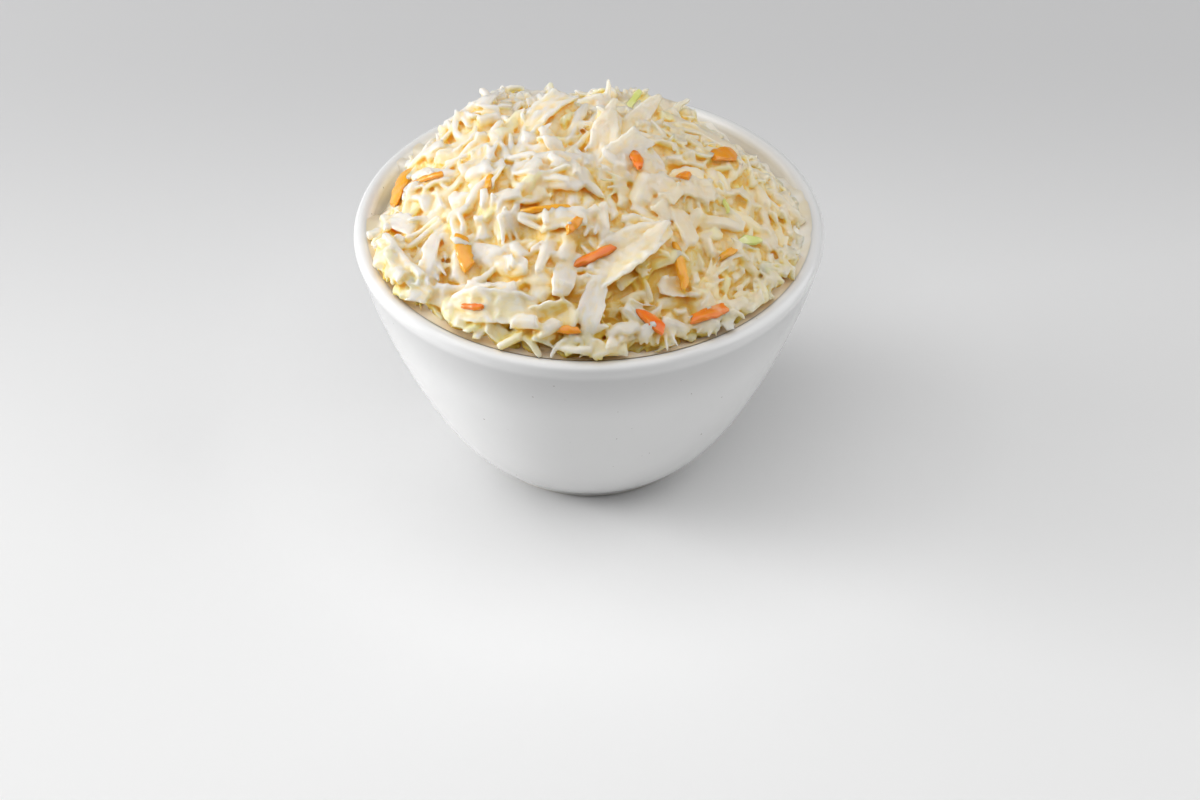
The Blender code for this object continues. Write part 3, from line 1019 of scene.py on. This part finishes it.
def skin(name, heights, rings, sides, depth=0.0, meniscus=0.0):
    """A round sheet over a height map out to the bowl's wall, or a slab of this depth under it."""
    ring = np.arange(1, rings + 1)[:, None]
    angle = 2.0 * math.pi * (np.arange(sides)[None, :] + 0.5 * (ring % 2)) / sides
    brink = INNER_TOP_RADIUS - 1.5 * MM
    reach = inner_face(read_map(heights, brink * np.cos(angle), brink * np.sin(angle))) + WALL_BITE
    radius = reach * ring / rings
    inside = np.minimum(radius, brink)
    top = read_map(heights, inside * np.cos(angle), inside * np.sin(angle))
    top += meniscus * np.exp((radius - reach) / (0.8 * MM))
    points, faces = [], []
    layers = 2 if depth else 1
    for layer in range(layers):
        points.append((0.0, 0.0, float(read_map(heights, 0.0, 0.0)) - layer * depth))
        sheet = np.stack([radius * np.cos(angle), radius * np.sin(angle), top - layer * depth], axis=-1)
        points.extend(sheet.reshape(-1, 3).tolist())
    size = 1 + rings * sides
    for layer in range(layers):
        start = layer * size
        for side in range(sides):
            near, far = start + 1 + side, start + 1 + (side + 1) % sides
            faces.append((start, near, far) if layer == 0 else (start, far, near))
        for ring in range(rings - 1):
            for side in range(sides):
                a, b = start + 1 + ring * sides + side, start + 1 + ring * sides + (side + 1) % sides
                c, d = b + sides, a + sides
                faces.append((a, d, c, b) if layer == 0 else (a, b, c, d))
    if depth:
        last = 1 + (rings - 1) * sides
        for side in range(sides):
            a, b = last + side, last + (side + 1) % sides
            faces.append((a, a + size, b + size, b))
    mesh = bpy.data.meshes.new(name)
    mesh.from_pydata(points, [], faces)
    mesh.shade_smooth()
    store(mesh, "tint", [0.35] * len(points))
    mesh.attributes.new("fibre", "FLOAT_VECTOR", "POINT")
    return mesh


def add_to(made, other):
    """Joins another object's mesh into made."""
    both = bmesh.new()
    both.from_mesh(made.data)
    both.from_mesh(other.data)
    both.to_mesh(made.data)
    both.free()
    bpy.data.objects.remove(other, do_unlink=True)


class COLESLAW_OT_bowl(bpy.types.Operator):
    """Turn the porcelain bowl"""
    bl_idname = "coleslaw.bowl"
    bl_label = "Porcelain bowl"

    def execute(self, context):
        settings = context.scene.bowl_settings
        profile = bowl_profile()
        mesh = bpy.data.meshes.new("porcelain_bowl")
        mesh.from_pydata(
            [(radius, 0.0, z) for radius, z in profile], [(i, i + 1) for i in range(len(profile) - 1)], []
        )
        bowl = link("porcelain_bowl", mesh)
        screw = bowl.modifiers.new("Turn", "SCREW")
        screw.steps = settings.facets
        screw.render_steps = settings.facets
        screw.use_merge_vertices = True
        screw.merge_threshold = 0.01 * MM
        plain_mesh(bowl)
        for vert in bowl.data.vertices:
            if vert.co.z > FOOT_HEIGHT:
                reach = math.hypot(vert.co.x, vert.co.y)
                ring = math.sin(vert.co.z / (2.6 * MM)) * 0.35 + noise.noise(vert.co / (22.0 * MM))
                share = 1.0 - settings.waver * (0.5 + 0.5 * ring) / max(reach, 10.0 * MM)
                vert.co.x *= share
                vert.co.y *= share
        bowl.data.shade_smooth()
        bowl.data.set_sharp_from_angle(angle=math.radians(40.0))
        dress(bowl, porcelain(settings.glaze), "porcelain", "bowl")
        return {"FINISHED"}


def core_top(x, y, reach):
    """Where the core's upper face comes, reach from the middle: rough with strands, and clear of the wall."""
    i, j = PILE.cells(np.array([[x, y, 0.0]]))
    strand = noise.noise(Vector((x, y, 0.0)) / (1.6 * MM))
    strand += 0.6 * noise.noise(Vector((x, y, 4.0)) / (0.8 * MM))
    z = float(PILE.heights[i[0], j[0]]) + 0.7 * MM * strand
    share = min(1.0, float(inner_limit(z)) / reach) if reach else 1.0
    return x * share, y * share, z


def core_mesh(rings, sides):
    """A closed solid from the height map down to the bowl's floor, in loops from its top to its bottom."""
    edge = INNER_TOP_RADIUS - 0.6 * MM
    profile = [(edge * i / rings, None) for i in range(rings + 1)]
    wall = wall_face(FLOOR_HEIGHT, INNER_TOP_RADIUS, INNER_FLOOR_RADIUS, 12)
    profile += [(radius - WALL_GAP, z + WALL_GAP) for radius, z in wall[3:]]
    profile += [(0.0, FLOOR_HEIGHT + WALL_GAP)]
    core = bmesh.new()
    loops = []
    for radius, z in profile:
        loop = []
        for k in range(sides if radius else 1):
            angle = 2.0 * math.pi * k / sides
            x, y = radius * math.cos(angle), radius * math.sin(angle)
            loop.append(core.verts.new(core_top(x, y, radius) if z is None else (x, y, z)))
        loops.append(loop)
    for upper, lower in zip(loops, loops[1:]):
        for near in range(sides):
            far = (near + 1) % sides
            if len(upper) == 1:
                core.faces.new((upper[0], lower[near], lower[far]))
            elif len(lower) == 1:
                core.faces.new((upper[near], lower[0], upper[far]))
            else:
                core.faces.new((upper[near], lower[near], lower[far], upper[far]))
    bmesh.ops.recalc_face_normals(core, faces=core.faces)
    mesh = bpy.data.meshes.new("packed_core")
    core.to_mesh(mesh)
    core.free()
    mesh.shade_smooth()
    store(mesh, "tint", [0.5] * len(mesh.vertices))
    return mesh


class COLESLAW_OT_core(bpy.types.Operator):
    """Pack the core that the loose shreds lie on"""
    bl_idname = "coleslaw.core"
    bl_label = "Packed core"

    def execute(self, context):
        settings = context.scene.slaw_settings
        PILE.start(settings.depth)
        made = link("packed_core", core_mesh(46, 160))
        # The core is painted in deeper shade than the shreds over it
        dress(made, cabbage("cabbage_core", settings, -0.25), "cabbage", "coleslaw")
        return {"FINISHED"}


# Large leaves and shreds that stand out, each laid on the heap:
# x, y, length, width, thickness in millimetres, heading, tilt, roll in degrees, widths, bow, cup in mm, twist
FEATURES = (
    (8, -31, 21, 11.0, 1.5, 41, 8, -14, (0.35, 0.8, 1.0, 0.95, 0.7, 0.35), -0.6, 2.2, 0.4),
    (14, -28, 8, 4.0, 1.3, 48, 14, 0, (1.0, 0.9, 0.7, 0.3), -0.3, 0.6, 0.0),
    (-20, -38, 20, 8.0, 1.4, -15, 2, 12, (0.35, 0.9, 1.0, 0.85, 1.0, 0.6), -0.5, 1.3, -0.4),
    (-5, -23, 9, 5.5, 1.4, 2, 4, 4, (0.9, 1.0, 1.0, 0.9), -0.2, 0.3, 0.0),
    (16, -14, 8, 5.5, 1.3, -42, 6, 6, (1.0, 1.0, 1.0, 1.0), -0.1, 0.2, 0.0),
    (23, -12, 7, 5.5, 1.3, 8, -4, 4, (1.0, 1.0, 1.0, 0.9), -0.2, 0.4, 0.0),
    (20, -22, 9, 4.4, 1.4, -64, 8, 0, (0.9, 1.0, 1.0, 0.8), -0.3, 0.5, 0.0),
    (-10, 10, 16, 7.5, 1.4, 48, 10, -10, (0.3, 0.7, 1.0, 0.8, 1.0), -0.5, 1.4, 0.4),
    (-2, 9, 13, 2.4, 1.3, 74, 12, 0, (0.8, 1.0, 0.9, 0.6), -0.9, 0.1, 0.6),
    (4, 4, 16, 6.5, 1.8, 80, 14, 0, (0.8, 1.0, 0.8, 0.35, 0.25), -0.4, 1.6, 0.0),
    (11, 11, 19, 4.6, 1.6, 62, 14, 0, (0.8, 1.0, 0.8, 0.35), -0.4, 1.0, 0.3),
    (7, -6, 13, 7.5, 1.3, 46, 16, 12, (0.3, 0.8, 1.0, 0.7, 0.9), -0.5, 1.6, 0.3),
    (-13, -9, 7, 6.0, 1.6, -35, 4, 0, (0.7, 1.0, 1.0, 0.7), -0.4, 0.6, 0.0),
    (-18, -16, 8, 3.6, 1.4, -8, 6, 0, (0.7, 1.0, 1.0, 0.6), -0.4, 0.3, 0.0),
    (-24, -12, 9, 2.3, 1.3, 52, 10, 0, (0.8, 1.0, 1.0, 0.7), -0.5, 0.0, 0.4),
    (-36, 13, 12, 3.6, 1.4, -12, 6, 0, (0.2, 0.6, 0.9, 1.0), -0.3, 0.4, 0.0),
    (-34, 26, 7, 3.6, 2.0, 0, 8, 0, (0.9, 1.0, 1.0, 0.9), -0.1, 0.1, 0.0),
    (-38, 20, 7, 3.4, 2.0, -31, 6, 0, (0.8, 1.0, 1.0, 0.8), -0.2, 0.2, 0.3),
    (-45, -5, 10, 2.4, 1.4, -63, 4, 0, (0.9, 1.0, 1.0, 0.6), 0.1, 0.0, 0.0),
    (-13, -43, 5.5, 3.2, 1.9, -9, 8, 0, (0.9, 1.0, 1.0, 0.9), -0.2, 0.3, 0.0),
    (-8, -44, 4.5, 3.2, 1.9, 20, 8, 0, (0.9, 1.0, 1.0, 0.9), -0.2, 0.3, 0.0),
    (7, -44, 7, 3.0, 1.7, 13, 8, 0, (0.6, 1.0, 1.0, 0.7), -0.3, 0.3, 0.4),
    (12, -44, 5, 2.6, 1.5, 50, 10, 0, (0.7, 1.0, 1.0, 0.7), -0.3, 0.3, 0.4),
    (-39, -21, 17, 2.0, 1.5, -60, 4, 0, (1.0, 0.9, 0.9, 1.0), 0.15, 0.0, 0.0),
    (-16, -31, 8, 5.5, 1.4, -20, 12, 0, (0.8, 1.0, 0.9, 0.6), -0.4, -0.9, 0.0),
    (-9, -30, 10, 3.0, 1.6, -108, 10, 0, (0.9, 1.0, 0.8, 0.5), -0.5, 0.3, 0.4),
    (-5, -35, 10, 5.4, 1.4, -96, 12, 0, (0.5, 0.9, 1.0, 0.6), -0.5, 0.4, 0.0),
    (-33, -22, 13, 3.6, 1.5, 78, 10, 0, (0.6, 1.0, 1.0, 0.6), -0.6, 0.9, 0.0),
    (-40, -8, 9, 4.4, 1.5, -43, 12, 0, (0.6, 1.0, 1.0, 0.9), -0.5, 0.9, 0.0),
    (1, -40, 12, 6.0, 1.3, 77, 6, 0, (0.6, 1.0, 0.8, 0.6), -0.6, 1.0, 0.4),
    (26, 14, 15, 6.0, 1.2, 10, 4, 0, (0.5, 1.0, 0.8, 0.5), -0.6, 0.8, 0.3),
)

# Shreds that stand up behind the crown: x, y, length, width, heading, rise in degrees
SPIKES = ((4, 22, 9, 1.9, 96, 44), (18, 21, 11, 2.4, 50, 32))

# Green shreds: x, y, length, width, thickness, widths, bow, heading, rise in degrees, sink in millimetres
GREENS = (
    (9, 24, 9.0, 1.8, 1.2, (1.0, 1.0, 0.9, 0.7), 0.2, 66, 40, 2.0),
    (34, -18, 7.0, 2.6, 1.0, (0.5, 1.0, 0.8, 0.4), -0.4, 20, 4, 0.3),
    (29, -12, 5.0, 1.4, 0.9, (0.5, 1.0, 0.8, 0.3), -0.4, -80, 10, 0.3),
)

# Grated carrot that shows: x, y, length, width, heading, tilt
CARROTS = (
    (-41, 8, 11, 4.4, 69, 0), (-35, 0, 10, 1.5, -32, 8), (-21, -11, 5, 1.6, -97, 6),
    (-9, -20, 10, 1.9, -6, 4), (-26, -25, 8.5, 3.2, -79, 8), (1, -31, 9, 2.0, 22, 4),
    (10, -8, 6, 2.1, -78, 20), (19, -31, 9.5, 2.1, -64, 8), (29, -24, 3.5, 1.6, 34, 6),
    (29, 3, 7.5, 3.8, 42, 0), (20, -10, 4, 2.2, -55, 6), (13, -42, 6, 3.2, -35, 0),
    (25, -38, 8, 2.6, 30, 0), (-4, -45, 4, 1.7, -4, 0), (-24, -38, 5, 1.2, -12, 2),
    (-3, -26, 4, 2.0, 60, -4),
)


def rest_on_pile(shape, x, y, heading, tilt=0.0, roll=0.0, sink=0.3 * MM, nest=0.7):
    """Rests one shape at x, y in millimetres, turned in degrees, and returns its matrix."""
    points, faces = shape
    return PILE.lay(
        filled(points, faces), x * MM, y * MM, math.radians(heading), math.radians(tilt), math.radians(roll),
        sink=sink, nest=nest,
    )


def fill_heap(
    count, spare, top, lean, inner=0.0, outer=HEAP_RADIUS, sizes=(0.8, 1.2), edgewise=False, tries=6,
    sector=(0.0, 360.0),
):
    """Lays random shapes on the lowest places between two radii and returns their places.

    A place has at least spare room under the envelope, and a shape stands at most top over it. lean is how
    far shapes tip in degrees, sizes are the range of their scale, sector is a range of directions in degrees.
    Edgewise shapes lie along the wall. All are finer to the right.
    """
    dice = PILE.dice
    skins = [filled(points, faces) for points, faces in PILE.shapes]
    places = []
    for _ in range(count):
        spot = PILE.lowest_spot(tries, inner, outer, spare, sector)
        if spot is None:
            continue
        kind = dice.choices(range(len(skins)), PILE.weights)[0]
        size = dice.uniform(*sizes) * (1.0 - 0.22 * spot[0] / HEAP_RADIUS)
        scale = (size, size * dice.choice((-1.0, 1.0)), size)
        heading = dice.uniform(0.0, 2.0 * math.pi)
        if edgewise:
            heading = math.atan2(spot[1], spot[0]) + math.pi / 2.0 + dice.gauss(0.0, 0.4)
        tilt = math.radians(dice.gauss(0.0, lean))
        roll = math.radians(dice.gauss(0.0, 1.6 * lean))
        matrix = PILE.lay(skins[kind] * np.array(scale), spot[0], spot[1], heading, tilt, roll, top=top)
        if matrix is not None:
            places.append((kind, matrix, scale))
    return places


def lay_leaves():
    """Rests the large leaves, and the shreds that stand up behind the crown, on the heap."""
    for number, row in enumerate(FEATURES):
        x, y, length, width, thickness, heading, tilt, roll, widths, bow, cup, twist = row
        shape = shred_shape(
            length * MM, width * MM, thickness * MM, widths, bow=bow, cup=cup * MM, twist=twist,
            slants=(0.3, -0.2), wave=0.3 * MM, ragged=0.22 * MM, rib=0.4, lump=0.07 * width * MM, stations=30,
            ring=28, seed=100 + number,
        )
        PILE.leaves.append((shape, rest_on_pile(shape, x, y, heading, tilt, roll)))
    for number, (x, y, length, width, heading, rise) in enumerate(SPIKES):
        shape = shred_shape(
            length * MM, width * MM, 1.4 * MM, (1.0, 1.0, 0.8, 0.3), bow=0.2, stations=14, ring=10,
            seed=140 + number,
        )
        PILE.leaves.append((shape, rest_on_pile(shape, x, y, heading, rise, sink=2.0 * MM)))


def lay_carrots():
    """Rests the grated carrot on the heap."""
    for number, (x, y, length, width, heading, tilt) in enumerate(CARROTS):
        shape = shred_shape(
            1.05 * length * MM, 1.1 * width * MM, min(0.7 * width, 1.4) * MM, (0.8, 1.0, 1.0, 0.8),
            bow=-0.35, sway=0.25, twist=0.5, slants=(0.6, -0.5), ragged=0.2 * MM, stations=20, ring=12,
            seed=160 + number,
        )
        PILE.carrots.append((shape, rest_on_pile(shape, x, y, heading, tilt, sink=0.4 * MM)))


def lay_greens():
    """Rests the green shreds on the heap."""
    for number, (x, y, length, width, thickness, widths, bow, heading, rise, sink) in enumerate(GREENS):
        shape = shred_shape(length * MM, width * MM, thickness * MM, widths, bow=bow, seed=190 + number)
        PILE.greens.append((shape, rest_on_pile(shape, x, y, heading, rise, sink=sink * MM)))


def piece_of(name, rows, material, seed, highest_tint=1.0):
    """One mesh of shapes that each lie in one place."""
    places = [(number, matrix, (1.0, 1.0, 1.0)) for number, (_, matrix) in enumerate(rows)]
    return laid_piece(name, [shape for shape, _ in rows], places, material, seed, highest_tint)


def topping(name, rows, material, slot):
    """A piece of scattered shapes on top of the heap."""
    made = piece_of(name, rows, material, 3)
    made.data.set_sharp_from_angle(angle=math.radians(42.0))
    mark_open(made, PILE.soft_top())
    dress(made, material, slot)


class COLESLAW_OT_heap(bpy.types.Operator):
    """Let the shreds, bits, leaves, carrot and green come to rest on the core, from the bottom up"""
    bl_idname = "coleslaw.heap"
    bl_label = "Lay the heap"

    def execute(self, context):
        PILE.shapes, PILE.weights = mixed_shapes(PILE.dice)
        most = context.scene.slaw_settings.shreds
        edge = 38.0 * MM
        # A lower and an upper layer, each with shreds along the wall after it
        PILE.lower = fill_heap(most, 1.2 * MM, 0.6 * MM, 16.0, sizes=(0.8, 1.15))
        PILE.lower += fill_heap(most, 1.0 * MM, 0.4 * MM, 8.0, edge, sizes=(0.6, 0.9), edgewise=True)
        PILE.upper = fill_heap(most, -0.6 * MM, 2.4 * MM, 22.0, sizes=(0.75, 1.25))
        PILE.upper += fill_heap(most, -0.4 * MM, 1.8 * MM, 10.0, edge, sizes=(0.5, 0.85), edgewise=True)
        # Loose bits on top, then those that lie out over the lip in front
        PILE.upper += fill_heap(110, -9.0 * MM, 3.4 * MM, 20.0, outer=43.0 * MM, sizes=(0.4, 0.75), tries=1)
        PILE.upper += fill_heap(
            260, -90.0 * MM, 5.2 * MM, 10.0, 44.0 * MM, 48.2 * MM, (0.5, 0.9), tries=1,
            sector=(-162.0, -18.0),
        )
        lay_leaves()
        lay_carrots()
        PILE.upper += fill_heap(40, -9.0 * MM, 3.6 * MM, 20.0, outer=43.0 * MM, sizes=(0.35, 0.6), tries=1)
        lay_greens()
        return {"FINISHED"}


class COLESLAW_OT_cabbage(bpy.types.Operator):
    """Make the chopped cabbage, and the dressed bed between it, as one piece"""
    bl_idname = "coleslaw.cabbage"
    bl_label = "Chopped cabbage"

    def execute(self, context):
        material = cabbage("cabbage_upper", context.scene.slaw_settings, 0.05)
        # The bed comes up in patches, but not next to the wall
        patches = [[noise.noise(Vector((x, y, 0.0)) / (4.0 * MM)) for y in MAP_LINE] for x in MAP_LINE]
        patches = np.array(patches) * np.clip((44.0 * MM - MAP_REACH) / (4.0 * MM), 0.0, 1.0)
        down = 1.9 * MM - 1.2 * MM * patches
        bed = dressing_level(PILE.heights, 1.2 * MM, down, LIP_HEIGHT - 0.4 * MM, 1.1)
        heap = link("chopped_cabbage", skin("bed", bed, 92, 300, 4.0 * MM))
        add_to(heap, laid_piece("cabbage_lower", PILE.shapes, PILE.lower, material, 7))
        add_to(heap, laid_piece("cabbage_upper", PILE.shapes, PILE.upper, material, 7))
        add_to(heap, piece_of("cabbage_leaves", PILE.leaves, material, 3, 0.7))
        fused(heap, grain=0.3 * MM, soften=2, most=197000)
        mark_open(heap, PILE.soft_top())
        dress(heap, material, "cabbage")
        # The core gets the same sky openness, for its painted shade in the gaps
        mark_open(bpy.data.objects["packed_core"], PILE.soft_top())
        return {"FINISHED"}


class COLESLAW_OT_carrot(bpy.types.Operator):
    """Make the grated carrot"""
    bl_idname = "coleslaw.carrot"
    bl_label = "Grated carrot"

    def execute(self, context):
        topping("grated_carrot", PILE.carrots, carrot_flesh(context.scene.slaw_settings), "carrot")
        return {"FINISHED"}


class COLESLAW_OT_green(bpy.types.Operator):
    """Make the green shreds"""
    bl_idname = "coleslaw.green"
    bl_label = "Green shreds"

    def execute(self, context):
        topping("green_shreds", PILE.greens, green_leaf(context.scene.slaw_settings), "green_leaf")
        return {"FINISHED"}


class COLESLAW_OT_dressing(bpy.types.Operator):
    """Spread the dressing that clings between the shreds"""
    bl_idname = "coleslaw.dressing"
    bl_label = "Dressing"

    def execute(self, context):
        film = dressing_level(PILE.heights, 1.5 * MM, 1.2 * MM, LIP_HEIGHT - 0.1 * MM, 1.1)
        # It shows only along the wall, and dips under the shreds further in
        film -= 3.0 * MM * np.clip((44.5 * MM - MAP_REACH) / (2.0 * MM), 0.0, 1.0)
        made = link("dressing_film", skin("dressing_film", film, 110, 380, meniscus=0.5 * MM))
        dress(made, pooled_dressing(context.scene.slaw_settings), "dressing")
        return {"FINISHED"}


CAMERA_PLACE = (2.34 * MM, -581.5 * MM, RIM_HEIGHT + 427.8 * MM)
WORLD_STRENGTH = 0.02

# Round soft lights: name, place, width in metres, power in watts
LIGHTS = (
    ("left", (-0.85, 0.1, 0.6), 1.1, 3.3),
    ("left_low", (-0.9, 0.1, 0.2), 0.4, 6.2),
    ("right", (0.85, 0.05, 0.5), 1.1, 4.6),
    ("above", (-0.1, -0.15, 1.1), 1.4, 8.0),
)


def set_floor(settings):
    """Lays a matt floor with painted light: lighter in front, falling off to darker behind."""
    grid = bmesh.new()
    bmesh.ops.create_grid(grid, x_segments=1, y_segments=1, size=4.0)
    mesh = bpy.data.meshes.new("floor")
    grid.to_mesh(mesh)
    grid.free()
    floor = link("floor", mesh)
    cloth = Shader("floor", Roughness=0.9)
    grain = cloth.bump(cloth.noise(1500.0, 2.0), 0.1, 0.2 * MM)
    depth = cloth.add("ShaderNodeSeparateXYZ", {0: cloth.position()}).outputs["Y"]
    # Painted light falling off from the front of the floor to the back
    painted_falloff = cloth.mix(cloth.span(depth, -0.05, 0.16), settings.floor_lit_front, settings.floor_shaded_back)
    floor.data.materials.append(cloth.finish(Base_Color=painted_falloff, Normal=grain))


def set_camera(settings):
    """Puts the camera in front of the bowl, looking down at it."""
    data = bpy.data.cameras.new("camera")
    data.lens = settings.lens
    data.sensor_width = 36.0
    data.clip_end = 20.0
    camera = link("camera", data)
    camera.location = CAMERA_PLACE
    camera.rotation_euler = (math.pi / 2.0 - settings.pitch, 0.0, 0.0)
    bpy.context.scene.camera = camera


def set_lights():
    """Turns the lights at the bowl and sets a faint white sky."""
    aim = Vector((0.0, 0.0, 0.6 * RIM_HEIGHT))
    for name, place, size, power in LIGHTS:
        data = bpy.data.lights.new(name, "AREA")
        data.shape = "DISK"
        data.size = size
        data.energy = power
        lamp = link(name, data)
        lamp.location = place
        lamp.rotation_euler = (aim - lamp.location).to_track_quat("-Z", "Y").to_euler()
    world = bpy.data.worlds.new("studio")
    world.use_nodes = True
    sky = world.node_tree.nodes["Background"].inputs
    sky["Color"].default_value = (1.0, 1.0, 1.0, 1.0)
    sky["Strength"].default_value = WORLD_STRENGTH
    bpy.context.scene.world = world


class COLESLAW_OT_stage(bpy.types.Operator):
    """Set the floor, the lights and the camera"""
    bl_idname = "coleslaw.stage"
    bl_label = "Stage"

    def execute(self, context):
        settings = context.scene.stage_settings
        set_floor(settings)
        set_camera(settings)
        set_lights()
        context.scene.view_settings.view_transform = "Standard"
        return {"FINISHED"}


class COLESLAW_PT_panel(bpy.types.Panel):
    """Sizes, colours and steps of the bowl of coleslaw"""
    bl_idname = "COLESLAW_PT_panel"
    bl_label = "Coleslaw bowl"
    bl_space_type = "VIEW_3D"
    bl_region_type = "UI"
    bl_category = "Coleslaw"

    def draw(self, context):
        scene = context.scene
        for title, settings, operators in (
            ("Bowl", scene.bowl_settings, ("coleslaw.bowl",)),
            ("Coleslaw", scene.slaw_settings, (
                "coleslaw.core", "coleslaw.heap", "coleslaw.cabbage", "coleslaw.carrot", "coleslaw.green",
                "coleslaw.dressing",
            )),
            ("Stage", scene.stage_settings, ("coleslaw.stage",)),
        ):
            box = self.layout.box()
            box.label(text=title)
            for key in settings.bl_rna.properties.keys():
                if key not in ("rna_type", "name"):
                    box.prop(settings, key)
            for operator in operators:
                box.operator(operator)


CLASSES = (
    BowlSettings, SlawSettings, StageSettings, COLESLAW_OT_bowl, COLESLAW_OT_core, COLESLAW_OT_heap,
    COLESLAW_OT_cabbage, COLESLAW_OT_carrot, COLESLAW_OT_green, COLESLAW_OT_dressing, COLESLAW_OT_stage,
    COLESLAW_PT_panel,
)


def register():
    for made in CLASSES:
        bpy.utils.register_class(made)
    bpy.types.Scene.bowl_settings = PointerProperty(type=BowlSettings)
    bpy.types.Scene.slaw_settings = PointerProperty(type=SlawSettings)
    bpy.types.Scene.stage_settings = PointerProperty(type=StageSettings)


def unregister():
    del bpy.types.Scene.stage_settings
    del bpy.types.Scene.slaw_settings
    del bpy.types.Scene.bowl_settings
    for made in reversed(CLASSES):
        bpy.utils.unregister_class(made)


def main():
    """Builds every piece and the stage."""
    register()
    bpy.ops.coleslaw.bowl()
    bpy.ops.coleslaw.core()
    bpy.ops.coleslaw.heap()
    bpy.ops.coleslaw.cabbage()
    bpy.ops.coleslaw.carrot()
    bpy.ops.coleslaw.green()
    bpy.ops.coleslaw.dressing()
    bpy.ops.coleslaw.stage()


if __name__ == "__main__":
    main()
